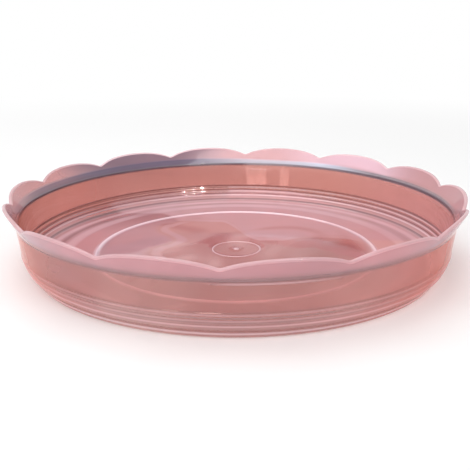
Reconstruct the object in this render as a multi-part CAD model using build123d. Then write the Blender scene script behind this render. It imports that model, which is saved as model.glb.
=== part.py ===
from build123d import *
import math
import os

# Plant saucer: one thin-walled plastic moulding with a scalloped, flared lip.
# Millimetres. +Z is up, and the origin is the centre of the plane that the foot stands on.
# A dip of the lip lies straight in front, on -Y.

# Outside of the wall, from the foot up: each corner by its step outwards and its step up
foot_edge_radius = 113.0
knee_flare = 6.0
knee_height = 9.6
wall_flare = 2.5
wall_rise = 19.9
lip_flare = 3.5
lip_rise = 6.4
wall_thickness = 1.8

# Bends between those runs
foot_edge_bend = 4.0
knee_bend = 22.0
shoulder_bend = 0.8
floor_corner_bend = 4.0

# Floor, and the foot ring under its edge
foot_height = 1.6
foot_width = 8.0
floor_thickness = 1.8

# Lobes of the lip
lobe_count = 14
lobe_rise = 4.7
dip_rounding = 2.5
lip_edge_rounding = 0.75

# Outline of half a lobe, from the dip to the crest, as control points of one curve.
# Each is a share of the lobe's half width and a share of its rise.
lobe_outline_shares = ((1.0, 0.0), (0.77, 0.62), (0.47, 1.0), (0.0, 1.0))

# Most of the lip's thickness that the rounding of either of its two edges may take
edge_rounding_limit_share = 0.42

# Corrugations of the lower wall: a bead outside with a groove behind it inside.
# Their places are counted along the inside of the wall from the corner of the floor.
corrugation_count = 3
corrugation_start = 5.3
corrugation_pitch = 2.85
corrugation_width = 2.0
corrugation_depth = 0.35

# Raised rings on the floor
pot_ring_radius = 80.5
pot_ring_width = 2.6
pot_ring_height = 0.8
centre_ring_radius = 13.8
centre_ring_width = 1.7
centre_ring_height = 0.45

# Moulding gate left at the centre of the floor
gate_radius = 1.6
gate_height = 0.5
gate_rounding = 0.3

# Length by which a blank or a cutter runs past the finished shape
overrun = 5.0

# Places that follow from the sizes
knee_radius = foot_edge_radius + knee_flare
shoulder_radius = knee_radius + wall_flare
shoulder_height = knee_height + wall_rise
dip_radius = shoulder_radius + lip_flare
dip_height = shoulder_height + lip_rise
floor_top = foot_height + floor_thickness
blank_height = dip_height + lobe_rise + overrun


def outside_corners():
    """Section corners of the outside, from the foot's edge up to the edge of the uncut lip."""
    foot_edge = Vector(foot_edge_radius, 0)
    knee = Vector(knee_radius, knee_height)
    shoulder = Vector(shoulder_radius, shoulder_height)
    blank_edge = point_at_height(shoulder, Vector(dip_radius, dip_height), blank_height)
    return foot_edge, knee, shoulder, blank_edge


def inside_corners():
    """Section corners of the inside, one wall thickness in, from the floor up past the uncut lip."""
    start, knee, shoulder, blank_edge = parallel_points(outside_corners(), wall_thickness)
    floor_corner = point_at_height(start, knee, floor_top)
    bowl_edge = point_at_height(shoulder, blank_edge, blank_height + overrun)
    return floor_corner, knee, shoulder, bowl_edge


def point_at_height(start, end, height):
    """Where the line through two section points reaches a height."""
    return start + (end - start) * ((height - start.Y) / (end.Y - start.Y))


def parallel_points(points, distance):
    """Corners of the line that runs alongside a chain of points, the distance to its left."""
    lines = []
    for start, end in zip(points, points[1:]):
        along = (end - start).normalized()
        side = Vector(-along.Y, along.X) * distance
        lines.append((start + side, end + side))
    corners = [lines[0][0]]
    for (start, end), (next_start, next_end) in zip(lines, lines[1:]):
        run = end - start
        next_run = next_end - next_start
        gap = next_start - start
        share = (gap.X * next_run.Y - gap.Y * next_run.X) / (run.X * next_run.Y - run.Y * next_run.X)
        corners.append(start + run * share)
    corners.append(lines[-1][1])
    return corners


def round_corner(face, corner, radius):
    """The flat section with one corner rounded."""
    nearest = face.vertices().sort_by_distance(Vector(corner.X, corner.Y))[0]
    return face.fillet_2d(radius, [nearest])


def bead_section(width, height):
    """A low rounded bead standing on the origin, with as much of a root below."""
    half_width = width / 2
    arc = ThreePointArc((-half_width, 0), (0, height), (half_width, 0))
    root = Polyline((half_width, 0), (half_width, -height), (-half_width, -height), (-half_width, 0))
    return make_face(arc + root)


def shell_section():
    """Half section of the plain shell, with its lip still uncut: x is the radius, y the height."""
    foot_edge, knee, shoulder, blank_edge = outside_corners()
    foot_inner_radius = foot_edge_radius - foot_width
    outside = Polygon(
        (0, foot_height),
        (foot_inner_radius, foot_height),
        (foot_inner_radius, 0),
        foot_edge,
        knee,
        shoulder,
        blank_edge,
        (0, blank_height),
        align=None,
    ).face()
    outside = round_corner(outside, foot_edge, foot_edge_bend)
    outside = round_corner(outside, knee, knee_bend)
    outside = round_corner(outside, shoulder, shoulder_bend)

    floor_corner, inner_knee, inner_shoulder, bowl_edge = inside_corners()
    bowl = Polygon(
        (0, floor_top),
        floor_corner,
        inner_knee,
        inner_shoulder,
        bowl_edge,
        (0, bowl_edge.Y),
        align=None,
    ).face()
    bowl = round_corner(bowl, floor_corner, floor_corner_bend)
    bowl = round_corner(bowl, inner_knee, knee_bend - wall_thickness)
    bowl = round_corner(bowl, inner_shoulder, shoulder_bend)
    return outside - bowl


def floor_forms():
    """Sections of what stands on the floor: the two raised rings and the moulding gate."""
    pot_ring = Pos(pot_ring_radius, floor_top) * bead_section(pot_ring_width, pot_ring_height)
    centre_ring = Pos(centre_ring_radius, floor_top) * bead_section(centre_ring_width, centre_ring_height)
    gate = Polygon(
        (0, floor_top - gate_height),
        (gate_radius, floor_top - gate_height),
        (gate_radius, floor_top + gate_height),
        (0, floor_top + gate_height),
        align=None,
    ).face()
    gate = round_corner(gate, Vector(gate_radius, floor_top + gate_height), gate_rounding)
    return pot_ring + centre_ring + gate


def corrugation_places():
    """A place on the inside of the wall for each corrugation, with its y axis square to the wall."""
    floor_corner, inner_knee, inner_shoulder, _ = inside_corners()
    inner_bend = knee_bend - wall_thickness
    wall_line = FilletPolyline(floor_corner, inner_knee, inner_shoulder, radius=inner_bend)
    places = []
    for index in range(corrugation_count):
        distance = corrugation_start + index * corrugation_pitch
        foot = wall_line.position_at(distance, position_mode=PositionMode.LENGTH)
        along = wall_line.tangent_at(distance, position_mode=PositionMode.LENGTH)
        lean = math.degrees(math.atan2(along.Y, along.X))
        places.append(Pos(foot.X, foot.Y) * Rot(0, 0, lean))
    return places


def saucer_section():
    """Half section of the whole moulding before its lip is cut."""
    section = shell_section() + floor_forms()
    outward_bead = Rot(0, 0, 180) * bead_section(corrugation_width, corrugation_depth)
    for place in corrugation_places():
        section += place * Pos(0, -wall_thickness) * outward_bead
        section -= place * outward_bead
    return section


def lobe_cutter():
    """What is cut away over one lobe, centred on +X and ending in the upright planes of its two dips."""
    half_angle = math.pi / lobe_count
    half_width = dip_radius * math.sin(half_angle)
    cutter_top = blank_height + overrun
    reach = 2 * dip_radius

    def outline(side):
        points = []
        for across_share, up_share in lobe_outline_shares:
            points.append((side * across_share * half_width, dip_height + up_share * lobe_rise))
        return Bezier(*points)

    border = Polyline(
        (half_width, dip_height),
        (half_width + overrun, dip_height),
        (half_width + overrun, cutter_top),
        (-half_width - overrun, cutter_top),
        (-half_width - overrun, dip_height),
        (-half_width, dip_height),
    )
    above_lobe = extrude(Plane.YZ * make_face([outline(1), outline(-1), border]), amount=reach)
    sector_side = reach * math.tan(half_angle)
    sector = Polygon((0, 0), (reach, -sector_side), (reach, sector_side), align=None)
    return above_lobe & extrude(sector, amount=cutter_top)


def dip_point(angle):
    """The middle of the lip's edge at the bottom of the dip that lies at an angle."""
    radius = dip_radius - wall_thickness / 2
    return Vector(radius * math.cos(angle), radius * math.sin(angle), dip_height)


def runs_along_rim(edge):
    """True for an edge that follows the lip's rim, not for one that crosses it or lies below it."""
    if edge.bounding_box().min.Z < dip_height - wall_thickness / 2:
        return False
    middle = edge.position_at(0.5)
    outward = Vector(middle.X, middle.Y, 0).normalized()
    along = edge.tangent_at(0.5)
    return abs(along.dot(outward)) < abs(along.cross(outward).length)


def make_saucer():
    """The whole moulding: a turned bowl whose lip is cut into lobes and then rounded."""
    saucer = revolve(Plane.XZ * saucer_section(), Axis.Z)

    pitch = 2 * math.pi / lobe_count
    dip_angles = [index * pitch - math.pi / 2 for index in range(lobe_count)]
    cutter = lobe_cutter()
    for angle in dip_angles:
        saucer -= Rot(0, 0, math.degrees(angle + pitch / 2)) * cutter

    dip_edges = [saucer.edges().sort_by_distance(dip_point(angle))[0] for angle in dip_angles]
    saucer = fillet(dip_edges, dip_rounding)

    rim_edges = saucer.edges().filter_by(runs_along_rim)
    return fillet(rim_edges, min(lip_edge_rounding, wall_thickness * edge_rounding_limit_share))


os.makedirs("parts", exist_ok=True)
export_step(make_saucer(), "parts/saucer.step")
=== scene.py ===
import math
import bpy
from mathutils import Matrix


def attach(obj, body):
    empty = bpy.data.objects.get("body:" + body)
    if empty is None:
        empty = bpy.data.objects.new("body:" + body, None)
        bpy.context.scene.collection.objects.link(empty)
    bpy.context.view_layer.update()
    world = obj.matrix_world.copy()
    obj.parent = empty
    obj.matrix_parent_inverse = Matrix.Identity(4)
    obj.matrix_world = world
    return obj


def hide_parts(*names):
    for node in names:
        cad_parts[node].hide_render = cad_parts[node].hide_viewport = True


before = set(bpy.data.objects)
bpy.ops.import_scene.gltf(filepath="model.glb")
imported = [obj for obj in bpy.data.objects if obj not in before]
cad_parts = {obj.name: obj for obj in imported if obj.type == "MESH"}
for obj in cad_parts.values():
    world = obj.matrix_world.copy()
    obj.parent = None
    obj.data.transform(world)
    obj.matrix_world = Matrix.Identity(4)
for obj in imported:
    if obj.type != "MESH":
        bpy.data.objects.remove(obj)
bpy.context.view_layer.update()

from types import SimpleNamespace

import bmesh
import bpy
from mathutils import Matrix, Vector, noise
from mathutils.geometry import intersect_line_line

# A see-through rose plastic plant saucer on a pale floor. Metres, +Z up, its axis on the Z axis.
MM = 0.001
hair = 0.01 * MM  # smallest distance that tells two places apart
merge_distance = hair / 10
curve_halvings = 30

# Outside of the wall, from the foot up, as steps outwards and upwards
foot_edge_radius = 113.0 * MM
knee_flare, knee_height = 6.0 * MM, 9.6 * MM
wall_flare, wall_rise = 2.5 * MM, 19.9 * MM
lip_flare, lip_rise = 3.5 * MM, 6.4 * MM
wall_thickness = 1.8 * MM

# Bends, each with the number of steps that turn it
foot_edge_bend, foot_edge_steps = 4.0 * MM, 7
knee_bend, knee_steps = 22.0 * MM, 34
shoulder_bend, shoulder_steps = 2.0 * MM, 6
floor_corner_bend, floor_corner_steps = 4.0 * MM, 7
rim_bend, rim_steps = 0.75 * MM, 5
foot_ring_bend, foot_ring_steps = 0.3 * MM, 2
round_profile = 0.5

# Floor and foot ring
foot_height = 1.6 * MM
foot_width = 8.0 * MM
floor_thickness = 1.8 * MM

# Lobes of the lip
lobe_count = 14
lobe_rise = 4.7 * MM
dip_rounding = 2.5 * MM
columns_per_lobe = 28
column_crowding = 0.7  # share by which the columns stand closer at the dips than on average
across_shares = (1.0, 0.77, 0.47, 0.0)
up_shares = (0.0, 0.62, 1.0, 1.0)

# Corrugations of the lower wall
corrugation_count = 3
corrugation_start = 5.3 * MM
corrugation_pitch = 2.85 * MM
corrugation_width = 2.4 * MM
corrugation_depth = 0.35 * MM
furrow_offset, furrow_width = 0.65 * MM, 1.3 * MM  # painted shade line along one flank of each
glow_width = 1.5 * MM  # painted highlight line along the other

# Raised forms of the floor
pot_ring_radius, pot_ring_width, pot_ring_height = 80.5 * MM, 3.4 * MM, 0.8 * MM
centre_ring_radius, centre_ring_width, centre_ring_height = 13.8 * MM, 2.0 * MM, 0.45 * MM
bead_rows = 9
gate_radius, gate_height, gate_bend = 1.6 * MM, 0.5 * MM, 0.3 * MM

# Greatest length of a face along the section
floor_row = 4.0 * MM
wall_row = 3.0 * MM

# Slight waves that the floor took on as it cooled: height and closeness
floor_wave_height = 0.45 * MM
floor_wave_count = 16.0
floor_wave_end = 106.0 * MM

# Numbers that the mesh carries at its points for the finish
point_marks = "inside", "relief", "furrow", "up_the_lip"

# Places that follow
knee_radius = foot_edge_radius + knee_flare
shoulder_radius = knee_radius + wall_flare
shoulder_height = knee_height + wall_rise
dip_radius = shoulder_radius + lip_flare
dip_height = shoulder_height + lip_rise
crest_height = dip_height + lobe_rise
floor_top = foot_height + floor_thickness
flare = lip_flare / lip_rise
lobe_pitch = 2 * math.pi / lobe_count


def section_point(radius, height):
    """A point of the half section, which is drawn in the XZ plane."""
    return Vector((radius, 0, height))


def crossing(first, second):
    """Where two lines of the section meet."""
    return intersect_line_line(*first, *second)[0]


def inside_of(start, end):
    """The line one wall thickness inside a line of the outside."""
    along = (end - start).normalized()
    inwards = Vector((-along.z, 0, along.x)) * wall_thickness
    return start + inwards, end + inwards


def level(height):
    """A level line of the section."""
    return section_point(0, height), section_point(1, height)


foot_edge = section_point(foot_edge_radius, 0)
knee = section_point(knee_radius, knee_height)
shoulder = section_point(shoulder_radius, shoulder_height)
crest_edge = section_point(dip_radius + lobe_rise * flare, crest_height)
inside_lower = inside_of(foot_edge, knee)
inside_upper = inside_of(knee, shoulder)
inside_lip = inside_of(shoulder, crest_edge)
floor_corner = crossing(inside_lower, level(floor_top))
inside_knee = crossing(inside_lower, inside_upper)
inside_shoulder = crossing(inside_upper, inside_lip)
inside_edge = crossing(inside_lip, level(crest_height))
knee_turn = (knee - foot_edge).angle(shoulder - knee)


def bend_corner(bm, vert, radius, steps):
    """Rounds one corner of the bare section to a true arc."""
    corner = vert.co.copy()
    ways = [(edge.other_vert(vert).co - corner).normalized() for edge in vert.link_edges]
    half = ways[0].angle(ways[1]) / 2
    centre = corner + (ways[0] + ways[1]).normalized() * radius / math.sin(half)
    arc = bmesh.ops.bevel(
        bm,
        geom=[vert],
        offset=radius / math.tan(half),
        offset_type="OFFSET",
        segments=steps,
        profile=round_profile,
        affect="VERTICES",
        material=-1,
    )
    for point in arc["verts"]:
        point.co = centre + (point.co - centre).normalized() * radius


def draw_section(bm):
    """The half section as a chain of edges, from under the floor, round the rim, to the top of the floor."""
    ring_inside = foot_edge_radius - foot_width
    pot_ring_inner = pot_ring_radius - pot_ring_width / 2
    pot_ring_outer = pot_ring_radius + pot_ring_width / 2
    centre_ring_inner = centre_ring_radius - centre_ring_width / 2
    centre_ring_outer = centre_ring_radius + centre_ring_width / 2
    gate_top = floor_top + gate_height
    chain = (
        (section_point(0, foot_height), 0, 0),
        (section_point(ring_inside, foot_height), foot_ring_bend, foot_ring_steps),
        (section_point(ring_inside, 0), foot_ring_bend, foot_ring_steps),
        (foot_edge, foot_edge_bend, foot_edge_steps),
        (knee, knee_bend, knee_steps),
        (shoulder, shoulder_bend, shoulder_steps),
        (crest_edge, rim_bend, rim_steps),
        (inside_edge, rim_bend, rim_steps),
        (inside_shoulder, shoulder_bend, shoulder_steps),
        (inside_knee, knee_bend - wall_thickness, knee_steps),
        (floor_corner, floor_corner_bend, floor_corner_steps),
        (section_point(pot_ring_outer, floor_top), 0, 0),
        (section_point(pot_ring_inner, floor_top), 0, 0),
        (section_point(centre_ring_outer, floor_top), 0, 0),
        (section_point(centre_ring_inner, floor_top), 0, 0),
        (section_point(gate_radius, floor_top), 0, 0),
        (section_point(gate_radius, gate_top), gate_bend, foot_ring_steps),
        (section_point(0, gate_top), 0, 0),
    )
    verts = [bm.verts.new(place) for place, _, _ in chain]
    for pair in zip(verts, verts[1:]):
        bm.edges.new(pair)
    for vert, (_, radius, steps) in zip(verts, chain):
        if radius:
            bend_corner(bm, vert, radius, steps)


def divide_section(bm):
    """Gives the beads, the walls and the floor the rows of faces that their shapes need."""
    for middle, width in ((pot_ring_radius, pot_ring_width), (centre_ring_radius, centre_ring_width)):
        bead_top = [e for e in bm.edges if is_level(e, floor_top) and abs(halfway(e).x - middle) < width / 4]
        bmesh.ops.subdivide_edges(bm, edges=bead_top, cuts=bead_rows)
    for edge in bm.edges[:]:
        longest = floor_row if is_level(edge, edge.verts[0].co.z) else wall_row
        cuts = math.ceil(edge.calc_length() / longest) - 1
        if cuts > 0:
            bmesh.ops.subdivide_edges(bm, edges=[edge], cuts=cuts)


def halfway(edge):
    return (edge.verts[0].co + edge.verts[1].co) / 2


def is_level(edge, height):
    return all(abs(vert.co.z - height) < hair for vert in edge.verts)


def mark_inside(bm, inside):
    """Marks the points of the section from the gate up to the top of the rim."""
    vert = max((v for v in bm.verts if v.co.x < hair), key=lambda v: v.co.z)
    walked = None
    while vert.co.z < crest_height - hair:
        vert[inside] = 1.0
        walked = next(edge for edge in vert.link_edges if edge is not walked)
        vert = walked.other_vert(vert)
    vert[inside] = 1.0


def bead(distance, width):
    """Share of its full height that a rounded bead has at a distance from its middle."""
    if abs(distance) > width / 2:
        return 0.0
    return math.cos(math.pi * distance / width) ** 2


def raise_rings(bm, relief):
    """Raises the two rings on the floor. The gate already stands on it."""
    for vert in bm.verts:
        if abs(vert.co.z - floor_top) < hair:
            pot_ring = bead(vert.co.x - pot_ring_radius, pot_ring_width)
            centre_ring = bead(vert.co.x - centre_ring_radius, centre_ring_width)
            vert.co.z += pot_ring_height * pot_ring + centre_ring_height * centre_ring
            vert[relief] = pot_ring + centre_ring
        elif vert.co.x < gate_radius + hair and vert.co.z > floor_top:
            vert[relief] = 1.0


def press_corrugations(bm, inside, relief, furrow):
    """Pushes both faces of the wall outwards in rounded waves where it bends at the knee."""
    inner_bend = knee_bend - wall_thickness
    tangent = inner_bend * math.tan(knee_turn / 2)
    straight = (inside_knee - floor_corner).length - tangent
    lower = (knee - foot_edge).normalized()
    outwards = Vector((lower.z, 0, -lower.x))
    centre = inside_knee - lower * tangent - outwards * inner_bend
    for vert in bm.verts:
        spoke = vert.co - centre
        if not any(abs(spoke.length - bend) < hair for bend in (inner_bend, knee_bend)):
            continue
        along_wall = straight + inner_bend * outwards.angle(spoke)
        for index in range(corrugation_count):
            place = corrugation_start + index * corrugation_pitch
            pressed = bead(along_wall - place, corrugation_width)
            vert.co += spoke.normalized() * corrugation_depth * pressed
            # Beside each wave: a painted shade line along one flank and a painted highlight line along the
            # other
            dark_flank = place + furrow_offset * (2 * vert[inside] - 1)
            vert[relief] += bead(along_wall - 2 * place + dark_flank, glow_width)
            vert[furrow] += bead(along_wall - dark_flank, furrow_width)


def curve_value(shares, turn):
    """Value of a curve of four control values."""
    a, b, c, d = shares
    back = 1 - turn
    return back**3 * a + 3 * back**2 * turn * b + 3 * back * turn**2 * c + turn**3 * d


def lobe_height(across):
    """Height of the rim above its dips, at a distance from the middle of a lobe."""
    half_width = dip_radius * math.sin(lobe_pitch / 2)
    share = min(1.0, abs(across) / half_width)
    low, high = 0.0, 1.0
    for _ in range(curve_halvings):
        middle = (low + high) / 2
        if curve_value(across_shares, middle) > share:
            low = middle
        else:
            high = middle
    height = lobe_rise * curve_value(up_shares, low)
    slope = math.atan2(lobe_rise * up_shares[1], half_width * (1 - across_shares[1]))
    from_dip = half_width - abs(across)
    if from_dip < dip_rounding * math.sin(slope):
        rounded = dip_rounding / math.cos(slope) - math.sqrt(dip_rounding**2 - max(from_dip, 0.0) ** 2)
        height = max(height, rounded)
    return height


def cut_lobes(bm, up_the_lip):
    """Draws the rim down along the flare of the lip to the outline of the lobes."""
    cap_base = crest_height - 2 * rim_bend
    for vert in bm.verts:
        part = (vert.co.z - shoulder_height) / (cap_base - shoulder_height)
        vert[up_the_lip] = part
        radius = math.hypot(vert.co.x, vert.co.y)
        if radius < hair:
            continue
        angle = math.atan2(vert.co.y, vert.co.x)
        lobe = round(angle / lobe_pitch)
        share = (angle / lobe_pitch - lobe) * 2
        share += column_crowding * math.sin(math.pi * share) / math.pi
        from_crest = share * lobe_pitch / 2
        drop = (lobe_rise - lobe_height(radius * math.sin(from_crest))) * min(max(part, 0.0), 1.0)
        radius -= drop * flare
        angle = lobe * lobe_pitch + from_crest
        vert.co = radius * math.cos(angle), radius * math.sin(angle), vert.co.z - drop


def warp_floor(bm):
    """Lets the floor wave a little, the same on both faces."""
    for vert in bm.verts:
        radius = math.hypot(vert.co.x, vert.co.y)
        if radius > floor_wave_end or vert.co.z < foot_height - hair:
            continue
        fade = math.cos(math.pi / 2 * radius / floor_wave_end) ** 0.5
        place = Vector((vert.co.x, vert.co.y, 0)) * floor_wave_count
        vert.co.z += floor_wave_height * fade * noise.noise(place)


def make_saucer():
    """The whole moulding, turned from its section."""
    bm = bmesh.new()
    inside, relief, furrow, up_the_lip = [bm.verts.layers.float.new(name) for name in point_marks]
    draw_section(bm)
    divide_section(bm)
    mark_inside(bm, inside)
    raise_rings(bm, relief)
    press_corrugations(bm, inside, relief, furrow)
    bmesh.ops.spin(
        bm,
        geom=bm.verts[:] + bm.edges[:],
        cent=(0, 0, 0),
        axis=(0, 0, 1),
        dvec=(0, 0, 0),
        angle=2 * math.pi,
        steps=lobe_count * columns_per_lobe,
        use_merge=True,
    )
    bmesh.ops.remove_doubles(bm, verts=bm.verts[:], dist=merge_distance)
    bmesh.ops.recalc_face_normals(bm, faces=bm.faces[:])
    cut_lobes(bm, up_the_lip)
    warp_floor(bm)
    for face in bm.faces:
        face.smooth = True
    mesh = bpy.data.meshes.new("scalloped_saucer")
    bm.to_mesh(mesh)
    bm.free()
    saucer = bpy.data.objects.new("scalloped_saucer", mesh)
    bpy.context.scene.collection.objects.link(saucer)
    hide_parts("saucer")
    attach(saucer, "root")
    return saucer


class Field:
    """A number that varies over a surface. Arithmetic on it adds Math nodes."""

    def __init__(self, finish, socket):
        self.finish, self.socket = finish, socket

    def sum(self, operation, *values):
        return self.finish.field("ShaderNodeMath", 0, {"operation": operation}, dict(enumerate(values)))

    def __add__(self, other):
        return self.sum("ADD", self, other)

    def __radd__(self, other):
        return self.sum("ADD", other, self)

    def __sub__(self, other):
        return self.sum("SUBTRACT", self, other)

    def __rsub__(self, other):
        return self.sum("SUBTRACT", other, self)

    def __mul__(self, other):
        return self.sum("MULTIPLY", self, other)

    def __rmul__(self, other):
        return self.sum("MULTIPLY", other, self)

    def __truediv__(self, other):
        return self.sum("DIVIDE", self, other)

    def __pow__(self, other):
        return self.sum("POWER", self, other)

    def smooth_from(self, start, end):
        """0 before start, 1 past end, and a smooth step between them."""
        settings = {"interpolation_type": "SMOOTHSTEP"}
        inputs = {"Value": self, "From Min": start, "From Max": end}
        return self.finish.field("ShaderNodeMapRange", "Result", settings, inputs)

    def at_least(self, least):
        """The same, with its range of 0 to 1 squeezed into least to 1."""
        return least + self * (1 - least)

    def line(self, middle, half_width):
        """1 at the middle of a soft line and 0 outside its half width."""
        off = (self - middle) / half_width
        return 1 - (off * off).smooth_from(0, 1)

    def wave(self, length, crest):
        """A wave between -1 and 1, with a crest at the place given."""
        return self.sum("COSINE", (self - crest) * (2 * math.pi / length))


class Finish:
    """A material that is built up node by node."""

    def __init__(self, name, tree=None):
        if tree is None:
            self.material = bpy.data.materials.new(name)
            self.material.use_nodes = True
            tree = self.material.node_tree
        self.nodes, self.links = tree.nodes, tree.links
        self.nodes.clear()

    def node(self, kind, settings=None, inputs=None):
        made = self.nodes.new(kind)
        for name, value in (settings or {}).items():
            setattr(made, name, value)
        for name, value in (inputs or {}).items():
            if isinstance(value, Field):
                value = value.socket
            if isinstance(value, bpy.types.NodeSocket):
                self.links.new(value, made.inputs[name])
            else:
                made.inputs[name].default_value = value
        return made

    def field(self, kind, output=0, settings=None, inputs=None):
        return Field(self, self.node(kind, settings, inputs).outputs[output])

    def painted(self, name):
        """A number that the mesh carries at its points."""
        return self.field("ShaderNodeAttribute", "Fac", {"attribute_name": name})

    def noise(self, place, scale, detail, distortion):
        inputs = {"Vector": place, "Scale": scale, "Detail": detail, "Distortion": distortion}
        return self.field("ShaderNodeTexNoise", 0, None, inputs)

    def shift(self, paint, strength):
        """The colour, made darker or lighter."""
        node = self.node("ShaderNodeVectorMath", {"operation": "SCALE"}, {0: paint, "Scale": strength})
        return node.outputs[0]

    def blend(self, share, first, second):
        """A colour that goes from the first to the second with the share."""
        node = self.node("ShaderNodeMix", {"data_type": "RGBA"}, {"Factor": share})
        for name, value in (("A", first), ("B", second)):
            socket = next(s for s in node.inputs if s.name == name and s.type == "RGBA")
            if isinstance(value, bpy.types.NodeSocket):
                self.links.new(value, socket)
            else:
                socket.default_value = value
        return next(s for s in node.outputs if s.type == "RGBA")


def colour(red, green, blue):
    """A colour given in display values of 0 to 255, which follow the sRGB curve."""
    def linear(value):
        share = value / 255
        return share / 12.92 if share <= 0.04045 else ((share + 0.055) / 1.055) ** 2.4
    return linear(red), linear(green), linear(blue), 1.0


# Rose plastic: colours of its zones
# floor_deep, floor_dark and floor_lilac are painted reflections in the floor
floor_rose = colour(250, 216, 218)
floor_deep = colour(226, 192, 204)
floor_brown = colour(174, 112, 120)
floor_dusk = colour(140, 88, 88)
floor_dark = colour(190, 152, 164)
# rib_sheen: painted reflection over the corrugations
rib_sheen = colour(244, 196, 206)
floor_lilac = colour(240, 210, 222)
wall_salmon = colour(186, 122, 105)
# Painted shade on the inside of the wall
wall_salmon_shaded = colour(122, 44, 36)
wall_pale = colour(240, 204, 200)
wall_edge = colour(250, 134, 112)
# wall_shade: painted shade towards the ends of the front wall, and the colour of its streaks and darker patch
wall_shade = colour(192, 142, 144)
wall_haze = colour(206, 168, 176)
# The next three are painted reflections on the lip: its pale colour, a bright one at the back right and a
# dark violet one at the back left
lip_pale_reflection = colour(238, 214, 228)
lip_pearl = colour(252, 222, 240)
lip_violet = colour(104, 72, 100)
lip_dusk = colour(192, 156, 170)
# The next three paint light and shade: a highlight along the rim, highlights on the raised forms with pale
# reflections in the floor, and dark shade lines
rim_glow = colour(240, 206, 214)
relief_glow = colour(252, 224, 236)
furrow_shade = colour(84, 30, 36)
# The next five paint the crease under the lip, a reflection that is violet at the left, pale in the middle
# and grey at the right, with a shade line at its foot, and a shade line along the shoulder
crease_violet = colour(84, 66, 98)
crease_pale = colour(192, 208, 228)
crease_grey = colour(122, 124, 134)
crease_shade = colour(100, 92, 106)
shoulder_shade = colour(84, 62, 76)
clear_rose = colour(242, 204, 199)

# Share of the light that one face of the plastic holds back, looking straight at it
floor_cover, deep_cover = 0.29, 0.05
wall_cover, wall_cover_inside, wall_cover_deep = 0.21, 0.05, 0.12
wall_cover_ends, wall_cover_grey_end = 0.12, -0.05
lip_cover, lip_cover_front = 0.26, 0.21
lip_cover_violet, lip_cover_violet_end, lip_cover_pearl = 0.32, 0.08, 0.32
most_cover = 0.97
plastic_density = 1.5

# Directions over the saucer, as shares of rightwards and backwards
rightwards, leftwards, backwards, forwards = (1, 0), (-1, 0), (0, 1), (0, -1)

# Zones of the plastic: a direction, and the places along it where the zone starts and is full,
# in millimetres from the axis
zones = {
    "front": (forwards, 40, 110),
    "rear": (backwards, -40, 20),
    "violet_side": ((-1, 0.5), 40, 105),
    "violet_lip": ((-0.6, 0.8), 103, 122),
    "violet_end": (leftwards, 60, 90),
    "pearl_side": ((0.85, 0.55), 82, 116),
    "grey_side": (rightwards, 58, 92),
    "sheen_side": (rightwards, -15, -9),
    "sheen_rear": (backwards, 40, 60),
    "sheen_lowering": (rightwards, 30, 80),
    "dusk_side": (rightwards, 5, 60),
    "behind_dusk": (backwards, 8, 30),
    "dull_side": (rightwards, -8, 8),
    "lilac_falling": (rightwards, -14, 14),
    "beside_rise": (rightwards, -56, -40),
    "flow_side": (rightwards, -50, -40),
    "behind_flow": (backwards, 48, 60),
    "ring_fading": (rightwards, 10, 78),
    "outer_side": (rightwards, 20, 60),
    "dark_rear": (backwards, 30, 70),
    "light_side": ((1, 0.4), -20, 120),
    "off_left_end": (rightwards, -124, -92),
    "off_left": (rightwards, -110, -60),
    "haze_side": (rightwards, 56, 118),
    "shade_left": (leftwards, 45, 85),
    "shade_right": (rightwards, 55, 85),
    "beside_streaks": (rightwards, 50, 90),
    "glow_start": (rightwards, -12, 8),
    "beside_glow": (rightwards, 30, 60),
}
# The same at both ends of the saucer, outwards from the middle, and then by radius and by height
end_zones = {"tips": (88, 117), "ends": (66, 108), "near_ends": (40, 80)}
ring_zones = {"around_dusk": (48, 76), "around_flow": (72, 80), "outer": (68, 82), "corner": (108, 110)}
height_zones = {"above_floor": (3.2, 4.2), "above_low": (8, 20), "high": (12, 28)}

# Soft lines round the saucer: the middle and the half width of each, by radius, by height,
# and by the number of millimetres above the shoulder. All but polish and dull, which set the roughness,
# are painted highlights, reflections and shades
ring_lines = {
    "pot_ring": (pot_ring_radius, 2.6 * MM),
    "foot_ring": (foot_edge_radius - foot_width, 1.8 * MM),
    "outer_glow": (98.5 * MM, 4.5 * MM),
    "corner_glow": (109.5 * MM, 2.5 * MM),
}
height_lines = {
    "corner_shade": (5.0 * MM, 0.6 * MM),
    "foot_bend": (4.7 * MM, 0.9 * MM),
    "foot_base": (0.3 * MM, 0.6 * MM),
    "foot_glow": (3.0 * MM, 0.9 * MM),
}
shoulder_lines = {"shoulder_glow": (-1.3, 0.6), "polish": (0.2, 2.5), "dull": (-0.8, 3.2)}

# Noises in the plastic: closeness, detail and distortion
noises = {
    "mottling": (26.0, 2.0, 1.2),
    "drifting": (11.0, 1.0, 0.8),
    "clouding": (13.0, 1.0, 1.6),
    "streaking": (8.0, 1.0, 1.8),
    "scuffs": (60.0, 1.0, 0.4),
    "swell": (42.0, 1.0, 0.5),
}
drift_step, cloud_step, streak_step = (0.35, 0.6), (0.36, 0.6), (0.42, 0.56)
cloud_growth = 2.0  # how much cloudier each metre further back is
mottle_strength = 0.2
noise_middle = 0.5

# Where the wall, the lip and the rim start and are full: the wall by its height with a frayed edge, and the
# others by the share of the way up the lip. The rim's zone reaches further down outside.
wall_fray, wall_step = 4 * MM, (floor_top, knee_height + 4 * MM)
lip_step = -0.2, 0.5
rim_reach_outside, rim_step = 0.06, (1.05, 1.1)

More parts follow.
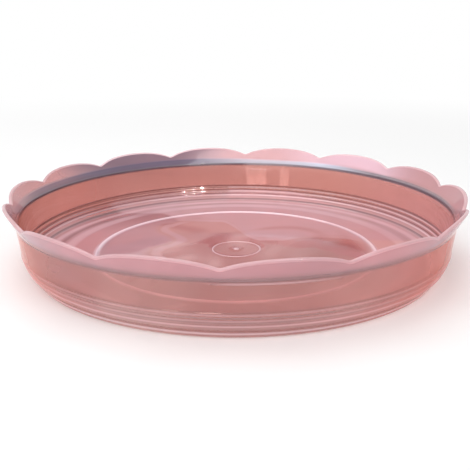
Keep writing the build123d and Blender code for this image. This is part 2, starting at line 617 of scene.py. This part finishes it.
# Painted reflections in the floor: the edge of the deeper patch and the edge of the lilac one
deep_edge, deep_sway, deep_sway_length, deep_sway_crest = -46 * MM, 6.5 * MM, 49 * MM, 15.5 * MM
deep_fray, deep_step, deep_line = 14 * MM, (-5 * MM, 4 * MM), (6 * MM, 4.5 * MM)
lilac_edge, lilac_fall, lilac_rise, lilac_hump = 60 * MM, 40 * MM, 14 * MM, 8 * MM
lilac_fray, lilac_step, lilac_line = 4 * MM, (-2 * MM, 4 * MM), (-1 * MM, 3.5 * MM)
lilac_hump_line = 52 * MM, 26 * MM
deep_line_share, least_lilac_line, least_lilac = 0.7, 0.5, 0.5

# Shares of the floor's colours
cloud_rose, dusk_without_rose = 0.7, 0.8
edge_glow_share, flow_line_share, foot_ring_share = 0.6, 0.75, 0.2

# Shares of the wall's colours
least_deepness_low, haze_share = 0.6, 0.8
streak_share, shade_left_share, shade_right_share = 0.35, 0.35, 0.4
wall_edge_share, wall_edge_share_low = 0.9, 0.45

# Darker patch on the left of the front wall
patch_side, patch_height = -72 * MM, 22.5 * MM
patch_half_width, patch_half_height, patch_step = 10 * MM, 4 * MM, (0.4, 1.3)

# Shares of the lip's colours: the bright painted reflection (pearl) that its tips lack, their dusk, and the
# dark painted reflection (violet)
tip_without_pearl, tip_dusk_share, violet_share = 0.8, 0.8, 0.9

# Pale band of the crease under the lip, a painted reflection, and the painted shade line at its foot, in
# millimetres above the shoulder; then the painted shade line along the shoulder
crease_step, crease_fade = (-0.3, 0.1), 1.6
crease_top, crease_top_violet, crease_top_grey = 2.4, 1.2, -0.9
crease_foot_line, crease_foot_drop = (0.2, 1.15), 0.5
least_crease, least_crease_foot = 0.25, 0.6
crease_cover, least_crease_cover = 0.5, 0.8
crease_foot_cover, crease_foot_cover_grey, crease_foot_cover_violet = 0.22, 0.3, 0.2
shoulder_line_middle, shoulder_line_width, shoulder_line_width_inside = -0.2, 0.7, 0.5

# Painted reflection over the corrugations at the right of the back, and how the painted highlights and shades
# of the rings, the corrugations and the shoulder change from place to place
sheen_top, sheen_top_fall, sheen_step = 11 * MM, 8 * MM, (-0.4 * MM, 0.4 * MM)
rib_glow_floor, rib_glow_outside, rib_gain_right = 0.75, 0.4, 0.5
rib_loss_inside, rib_loss_sheen, rib_cover_inside = 0.3, 0.25, 0.9
ring_fade, shoulder_glow_share = 0.6, 0.5
least_furrow_cover, furrow_loss_sheen = 0.8, 0.4
edge_glow_cover, foot_ring_cover = 0.15, 0.12

# Painted highlights, reflections and shades, and the darker patch: the colour, its share and the share of the
# light that the mark holds back
marks = {
    "patch": (wall_shade, 0.5, 0.08),
    "sheen": (rib_sheen, 0.8, 0.06),
    "corner_shade": (furrow_shade, 0.8, 0.4),
    "ring_glow": (relief_glow, 0.7, 0.2),
    "shoulder_line": (shoulder_shade, 0.7, 0.24),
    "rim": (rim_glow, 1.0, 0.2),
    "foot_shade": (furrow_shade, 0.5, 0.06),
    "foot_glow": (relief_glow, 0.6, 0.25),
    "shoulder_glow": (relief_glow, 1.0, 0.25),
}
furrow_share, furrow_share_rear, furrow_cover = 0.65, 0.25, 0.7
rib_glow_share, rib_glow_cover = 0.8, 0.28
crease_share, crease_foot_share = 0.9, 0.8

# Gloss of the plastic
gloss = 1.85  # index of refraction that gives the highlights their brightness
smoothness, scuff_roughness, relief_roughness, dull_roughness = 0.02, 0.05, 0.05, 0.5
polish_share = 0.8  # share of the scuffs that is missing round the crease
swell_strength, swell_height = 0.5, 0.3 * MM
straight_facing = 0.5  # setting of the Layer Weight node that leaves the cosine of the angle of view as it is
mirror_steepness = 5  # power with which the mirroring grows as the plastic is seen more edge-on


class Coat:
    """The plastic's colour, and the share of the light that one face of it holds back."""

    def __init__(self, finish, paint, cover):
        self.finish, self.paint, self.cover = finish, paint, cover

    def lay(self, mask, paint, share, cover):
        """Adds a mark where its mask is 1."""
        self.paint = self.finish.blend(mask * share, self.paint, paint)
        self.cover = self.cover + mask * cover


def read_places(finish):
    """What the looks go by: a point's place, its marks on the mesh, and the noises, zones and lines."""
    place = finish.node("ShaderNodeTexCoord").outputs["Object"]
    parts = finish.node("ShaderNodeSeparateXYZ", inputs={0: place})
    at = SimpleNamespace()
    at.side, at.back, at.height = [Field(finish, parts.outputs[name]) for name in "XYZ"]
    at.radius = (at.side * at.side + at.back * at.back) ** 0.5
    at.above = (at.height - shoulder_height) / MM
    for name in point_marks:
        setattr(at, name, finish.painted(name))
    for name, settings in noises.items():
        setattr(at, name, finish.noise(place, *settings))
    for name, (direction, start, end) in zones.items():
        along = at.side * direction[0] + at.back * direction[1]
        setattr(at, name, along.smooth_from(start * MM, end * MM))
    for name, (start, end) in end_zones.items():
        setattr(at, name, (at.side * at.side).smooth_from((start * MM) ** 2, (end * MM) ** 2))
    for distance, steps in ((at.radius, ring_zones), (at.height, height_zones)):
        for name, (start, end) in steps.items():
            setattr(at, name, distance.smooth_from(start * MM, end * MM))
    for distance, lines in ((at.radius, ring_lines), (at.height, height_lines), (at.above, shoulder_lines)):
        for name, line in lines.items():
            setattr(at, name, distance.line(*line))
    at.mottle = at.mottling - noise_middle
    at.drift = at.drifting.smooth_from(*drift_step)
    at.clouds = (at.clouding + at.back * cloud_growth).smooth_from(*cloud_step)
    at.streaks = at.streaking.smooth_from(*streak_step)
    at.wall = (at.height + at.mottle * wall_fray).smooth_from(*wall_step)
    at.lip = at.up_the_lip.smooth_from(*lip_step)
    at.rim = (at.up_the_lip + (1 - at.inside) * rim_reach_outside).smooth_from(*rim_step)
    return at


def add_painted_reflections(at):
    """The floor's painted reflections: the deeper patch, the lilac one and the pale line along their edges.
    """
    sway = at.back.wave(deep_sway_length, deep_sway_crest) * deep_sway
    deep_way = at.side - deep_edge + at.mottle * deep_fray - sway
    lilac_way = at.back + at.mottle * lilac_fray - lilac_edge + at.lilac_falling * lilac_fall
    lilac_way = lilac_way - (1 - at.beside_rise) * lilac_rise - at.side.line(*lilac_hump_line) * lilac_hump
    at.deep = 1 - deep_way.smooth_from(*deep_step)
    at.lilac = lilac_way.smooth_from(*lilac_step)
    along_lilac = lilac_way.line(*lilac_line) * at.flow_side * at.drift.at_least(least_lilac_line)
    along_deep = deep_way.line(*deep_line) * (1 - at.behind_flow) * deep_line_share
    at.flow_line = (along_lilac + along_deep) * (1 - at.around_flow)


def add_masks(at):
    """Masks that are put together from the zones and the lines."""
    at.pearl = at.pearl_side * (1 - at.tips * tip_without_pearl)
    at.dusk = at.dusk_side * (1 - at.behind_dusk) * (1 - at.around_dusk)
    # Painted shade inside the wall, stronger to the left and higher up
    at.deepness = (1 - at.light_side) * at.high.at_least(least_deepness_low) * at.off_left_end
    off_side = (at.side - patch_side) / patch_half_width
    off_height = (at.height - patch_height) / patch_half_height
    off_patch = (off_side * off_side + off_height * off_height).smooth_from(*patch_step)
    at.patch = (1 - off_patch) * (1 - at.rear) * (1 - at.inside)
    below_top = (sheen_top - at.sheen_lowering * sheen_top_fall - at.height).smooth_from(*sheen_step)
    at.sheen = below_top * at.above_floor * at.sheen_side * at.sheen_rear * at.inside
    inside_glow = at.sheen_side * rib_gain_right - rib_loss_inside - at.sheen * rib_loss_sheen
    on_wall = rib_glow_outside + at.inside * inside_glow
    at.rib_glow = at.relief * ((1 - at.wall) * rib_glow_floor + at.wall * on_wall)
    at.ring_glow = at.pot_ring * (1 - at.ring_fading * ring_fade)
    top = crease_top + at.violet_side * crease_top_violet + at.grey_side * crease_top_grey
    band = at.above.smooth_from(*crease_step) * (1 - at.above.smooth_from(top, top + crease_fade))
    at.crease = band * at.inside * at.rear.at_least(least_crease)
    foot = (at.above + at.grey_side * crease_foot_drop).line(*crease_foot_line)
    at.crease_foot = foot * at.inside * at.rear.at_least(least_crease_foot)
    shoulder_width = shoulder_line_width + at.inside * shoulder_line_width_inside
    at.shoulder_line = at.above.line(shoulder_line_middle, shoulder_width)


def floor_paint(finish, at):
    """Brown and rose, with a dusky patch at the front right, the painted reflections, pale painted reflection
    lines further out and a painted shade line over the foot ring's inner edge.
    """
    outer = at.outer * at.outer_side
    rosy = at.clouds * cloud_rose * (1 - at.dusk * dusk_without_rose) * (1 - outer) + outer
    edge_glow = (at.outer_glow + at.corner_glow) * at.drift * edge_glow_share
    paint = finish.blend(at.dusk, floor_brown, floor_dusk)
    paint = finish.blend(rosy, paint, floor_rose)
    paint = finish.blend(at.deep, paint, finish.blend(at.dark_rear, floor_deep, floor_dark))
    paint = finish.blend(at.lilac * at.clouds.at_least(least_lilac), paint, floor_lilac)
    paint = finish.blend(edge_glow + at.flow_line * flow_line_share, paint, relief_glow)
    return finish.blend(at.foot_ring * (1 + at.drift) * foot_ring_share, paint, furrow_shade)


def wall_paint(finish, at):
    """Salmon inside, with painted shade to the left and higher up. Outside it is pale, with faint streaks in
    the middle, painted shade towards the left and the right, and warm ends.
    """
    salmon = finish.blend(at.deepness, wall_salmon, wall_salmon_shaded)
    salmon = finish.blend(at.haze_side * haze_share, salmon, wall_haze)
    shade = at.streaks * streak_share * (1 - at.beside_streaks)
    shade = shade + at.shade_left * shade_left_share + at.shade_right * shade_right_share
    warmth = at.ends * wall_edge_share + (1 - at.above_low) * at.near_ends * wall_edge_share_low
    pale = finish.blend(warmth, finish.blend(shade, wall_pale, wall_shade), wall_edge)
    return finish.blend(at.inside, pale, salmon)


def lip_paint(finish, at):
    """Pale lilac, a painted reflection, with a brighter painted reflection at the back right, duller tips and
    a dark violet painted reflection at the back left.
    """
    pale_lip = finish.blend(at.pearl, lip_pale_reflection, lip_pearl)
    pale_lip = finish.blend(at.tips * tip_dusk_share, pale_lip, lip_dusk)
    return finish.blend(at.violet_lip * violet_share, pale_lip, lip_violet)


def plain_cover(at):
    """Share of the light that one face of the floor, the wall and the lip holds back, without the marks."""
    on_lip = lip_cover + (lip_cover_front - lip_cover) * at.front + at.pearl * lip_cover_pearl
    on_lip = on_lip + at.violet_lip * (lip_cover_violet + at.violet_end * lip_cover_violet_end)
    cover = floor_cover + (wall_cover - floor_cover) * at.wall + (on_lip - wall_cover) * at.lip
    on_wall = wall_cover_inside * (1 - at.lip) + at.deepness * at.off_left * wall_cover_deep
    cover = cover + at.inside * at.wall * on_wall
    lines = (at.outer_glow + at.corner_glow) * edge_glow_cover + at.foot_ring * foot_ring_cover
    cover = cover + (1 - at.wall) * (lines * at.inside + at.deep * deep_cover)
    on_ends = wall_cover_ends + at.grey_side * wall_cover_grey_end
    return cover + at.ends * (1 - at.inside) * (1 - at.lip) * on_ends


def lay_marks(coat, at):
    """Adds the painted highlights, reflections and shade lines that follow the saucer's forms, and the darker
    patch.
    """
    furrow_colour = furrow_share + at.rear * furrow_share_rear
    furrow_hold = furrow_cover * (at.rear.at_least(least_furrow_cover) - at.sheen * furrow_loss_sheen)
    crease_paint = coat.finish.blend(at.grey_side, crease_pale, crease_grey)
    crease_paint = coat.finish.blend(at.violet_side, crease_paint, crease_violet)
    crease_hold = crease_cover * at.violet_side.at_least(least_crease_cover)
    foot_hold = crease_foot_cover + at.grey_side * crease_foot_cover_grey
    foot_hold = foot_hold + at.violet_side * crease_foot_cover_violet
    coat.lay(at.patch, *marks["patch"])
    coat.lay(at.sheen, *marks["sheen"])
    coat.lay(at.furrow, furrow_shade, furrow_colour, furrow_hold)
    coat.lay(at.corner_shade * at.corner * at.inside * at.rear, *marks["corner_shade"])
    coat.lay(at.rib_glow, relief_glow, rib_glow_share, rib_glow_cover * (1 + at.inside * rib_cover_inside))
    coat.lay(at.ring_glow, *marks["ring_glow"])
    coat.lay(at.crease, crease_paint, crease_share, crease_hold)
    coat.lay(at.crease_foot, crease_shade, crease_foot_share, foot_hold)
    coat.lay(at.shoulder_line, *marks["shoulder_line"])
    coat.lay(at.rim, *marks["rim"])
    coat.paint = coat.finish.shift(coat.paint, 1 + at.mottle * mottle_strength)
    outside = 1 - at.inside
    glow_side = at.glow_start * (1 - at.beside_glow) * at.front
    coat.lay((at.foot_bend + at.foot_base) * outside, *marks["foot_shade"])
    coat.lay(at.foot_glow * outside, *marks["foot_glow"])
    coat.lay(at.shoulder_glow * outside * glow_side * shoulder_glow_share, *marks["shoulder_glow"])


def rose_plastic():
    """See-through plastic that holds back and mirrors more of the light the more edge-on it is seen."""
    finish = Finish("rose_plastic")
    at = read_places(finish)
    add_painted_reflections(at)
    add_masks(at)
    paint = finish.blend(1 - at.inside * (1 - at.wall), floor_paint(finish, at), wall_paint(finish, at))
    coat = Coat(finish, finish.blend(at.lip, paint, lip_paint(finish, at)), plain_cover(at))
    lay_marks(coat, at)

    # The path is how many wall thicknesses the light crosses. It grows as the plastic is seen more edge-on.
    facing = 1 - finish.field("ShaderNodeLayerWeight", "Facing", None, {"Blend": straight_facing})
    path = (1 - (1 - facing * facing) / plastic_density**2) ** -0.5
    head_on = ((plastic_density - 1) / (plastic_density + 1)) ** 2
    mirrored = head_on + (1 - head_on) * (1 - facing) ** mirror_steepness
    through_one_face = 1 - coat.cover.sum("MINIMUM", coat.cover, most_cover)
    cover = 1 - (1 - mirrored) * through_one_face ** path

    roughness = smoothness + at.scuffs * scuff_roughness * (1 - at.polish * polish_share)
    roughness = roughness + at.relief * relief_roughness
    roughness = roughness + at.dull * at.rear * at.dull_side * dull_roughness
    swells = {"Strength": swell_strength, "Distance": swell_height, "Height": at.swell}
    bump = finish.node("ShaderNodeBump", inputs=swells)
    looks = {"Base Color": coat.paint, "Roughness": roughness, "IOR": gloss, "Normal": bump.outputs[0]}
    body = finish.node("ShaderNodeBsdfPrincipled", inputs=looks)
    clear = finish.node("ShaderNodeBsdfTransparent", inputs={"Color": clear_rose})
    mixed = finish.node("ShaderNodeMixShader", inputs={0: cover, 1: clear.outputs[0], 2: body.outputs[0]})
    finish.node("ShaderNodeOutputMaterial", inputs={"Surface": mixed.outputs[0]})
    return finish.material


# Studio: a white sweep near the ground that dims upwards, and soft panels.
# Each panel has a heading clockwise from +Y and a rise above the ground in degrees, a distance,
# a width and a height in metres, and a brightness that is 1 for white.
low_sky, high_sky = 0.8, 0.34
low_sky_rise, high_sky_rise = 5.0, 13.0
floor_white = 0.82
sweep_start, sweep_end = 0.25, 0.9
ground_reach, ground_drop = 6.0, 2 * hair
ground_lift = 0.2  # light that the ground near the saucer gives off itself where it is seen
white = (1.0, 1.0, 1.0)
window_tint = (0.76, 1.0, 1.0)
panels = {
    "overhead": (-60, 78, 1.4, 1.2, 1.2, 2.3),
    "key": (-171, 35, 1.8, 4.6, 1.4, 1.3),
    "window": (-170.2, 3.4, 2.4, 0.52, 0.26, 19.0),
    "window_side": (-152.8, 3.2, 2.4, 0.26, 0.24, 17.0),
    "spark_left": (142.0, 27, 2.4, 0.03, 0.03, 14000.0),
    "spark": (148.0, 27, 2.4, 0.03, 0.03, 14000.0),
    "spark_right": (154.0, 27, 2.4, 0.03, 0.03, 14000.0),
}


def toward(heading, rise):
    """Direction with a heading clockwise from +Y and a rise above the ground, in degrees."""
    level_part = math.cos(math.radians(rise))
    sideways = math.sin(math.radians(heading)) * level_part
    return Vector((sideways, math.cos(math.radians(heading)) * level_part, math.sin(math.radians(rise))))


def add_panel(name, heading, rise, distance, width, height, brightness):
    lamp = bpy.data.lights.new(name, "AREA")
    lamp.shape = "RECTANGLE"
    lamp.size, lamp.size_y = width, height
    lamp.energy = brightness * math.pi * width * height
    lamp.color = window_tint if name.startswith("window") else white
    holder = bpy.data.objects.new(name, lamp)
    bpy.context.scene.collection.objects.link(holder)
    holder.visible_diffuse = not name.startswith("spark")  # the small lamps only make highlights
    out = toward(heading, rise)
    holder.location = out * distance
    holder.rotation_euler = out.to_track_quat("Z", "Y").to_euler()


def seen_directly(finish):
    """1 for what is seen itself, in a gloss or through glass, and 0 for what only lights the saucer."""
    path = finish.node("ShaderNodeLightPath").outputs
    kinds = "Is Camera Ray", "Is Glossy Ray", "Is Transmission Ray"
    camera, glossy, transmission = [Field(finish, path[kind]) for kind in kinds]
    return 1 - (1 - camera) * (1 - glossy) * (1 - transmission)


def light_studio():
    world = bpy.data.worlds.new("studio")
    bpy.context.scene.world = world
    world.use_nodes = True
    sky = Finish("studio", world.node_tree)
    direction = sky.node("ShaderNodeTexCoord").outputs["Generated"]
    rise = Field(sky, sky.node("ShaderNodeSeparateXYZ", inputs={0: direction}).outputs["Z"])
    low, high = [math.sin(math.radians(angle)) for angle in (low_sky_rise, high_sky_rise)]
    around = low_sky + (high_sky - low_sky) * rise.smooth_from(low, high)
    strength = around + (1 - around) * seen_directly(sky)
    shine = sky.node("ShaderNodeBackground", inputs={"Color": (*white, 1), "Strength": strength})
    sky.node("ShaderNodeOutputWorld", inputs={"Surface": shine.outputs[0]})
    for name, values in panels.items():
        add_panel(name, *values)


def make_ground():
    """A pale floor that keeps the saucer's shadow and turns into the white sweep further out.

    It is open when seen from below.
    """
    bm = bmesh.new()
    bmesh.ops.create_grid(bm, x_segments=1, y_segments=1, size=ground_reach)
    bmesh.ops.translate(bm, verts=bm.verts[:], vec=(0, 0, -ground_drop))
    mesh = bpy.data.meshes.new("ground")
    bm.to_mesh(mesh)
    bm.free()
    ground = bpy.data.objects.new("ground", mesh)
    bpy.context.scene.collection.objects.link(ground)
    finish = Finish("white_sweep")
    place = finish.node("ShaderNodeTexCoord").outputs["Object"]
    away = finish.field("ShaderNodeVectorMath", "Value", {"operation": "LENGTH"}, {0: place})
    seen = seen_directly(finish)
    matt = finish.node("ShaderNodeBsdfDiffuse", inputs={"Color": (floor_white, floor_white, floor_white, 1)})
    glow = finish.node("ShaderNodeEmission", inputs={"Strength": 1.0})
    lift = finish.node("ShaderNodeEmission", inputs={"Strength": ground_lift})
    lifted = finish.node("ShaderNodeAddShader", inputs={0: matt.outputs[0], 1: lift.outputs[0]})
    near = finish.node("ShaderNodeMixShader", inputs={0: seen, 1: matt.outputs[0], 2: lifted.outputs[0]})
    far = seen * away.smooth_from(sweep_start, sweep_end)
    sweep = finish.node("ShaderNodeMixShader", inputs={0: far, 1: near.outputs[0], 2: glow.outputs[0]})
    underneath = finish.node("ShaderNodeNewGeometry").outputs["Backfacing"]
    open_below = finish.node("ShaderNodeBsdfTransparent")
    faces = {0: underneath, 1: sweep.outputs[0], 2: open_below.outputs[0]}
    both = finish.node("ShaderNodeMixShader", inputs=faces)
    finish.node("ShaderNodeOutputMaterial", inputs={"Surface": both.outputs[0]})
    mesh.materials.append(finish.material)


# The camera stands where it stood for the photograph
camera_place = (0.02131, -0.39075, 0.13296)
camera_heading, camera_tilt, camera_roll = 3.228, 72.82, -0.134
sensor_width = 36.0
focal_pixels, picture_pixels = 707.5, 470
nearest_seen = 10 * MM


def place_camera():
    camera = bpy.data.cameras.new("camera")
    camera.sensor_width = sensor_width
    camera.lens = sensor_width * focal_pixels / picture_pixels
    camera.clip_start = nearest_seen
    holder = bpy.data.objects.new("camera", camera)
    bpy.context.scene.collection.objects.link(holder)
    heading, tilt, roll = [math.radians(angle) for angle in (camera_heading, camera_tilt, camera_roll)]
    aim = Matrix.Rotation(heading, 4, "Z") @ Matrix.Rotation(tilt, 4, "X") @ Matrix.Rotation(roll, 4, "Z")
    holder.matrix_world = Matrix.Translation(camera_place) @ aim
    bpy.context.scene.camera = holder


saucer = make_saucer()
saucer.data.materials.append(rose_plastic())
make_ground()
light_studio()
place_camera()
bpy.context.scene.view_settings.view_transform = "Standard"
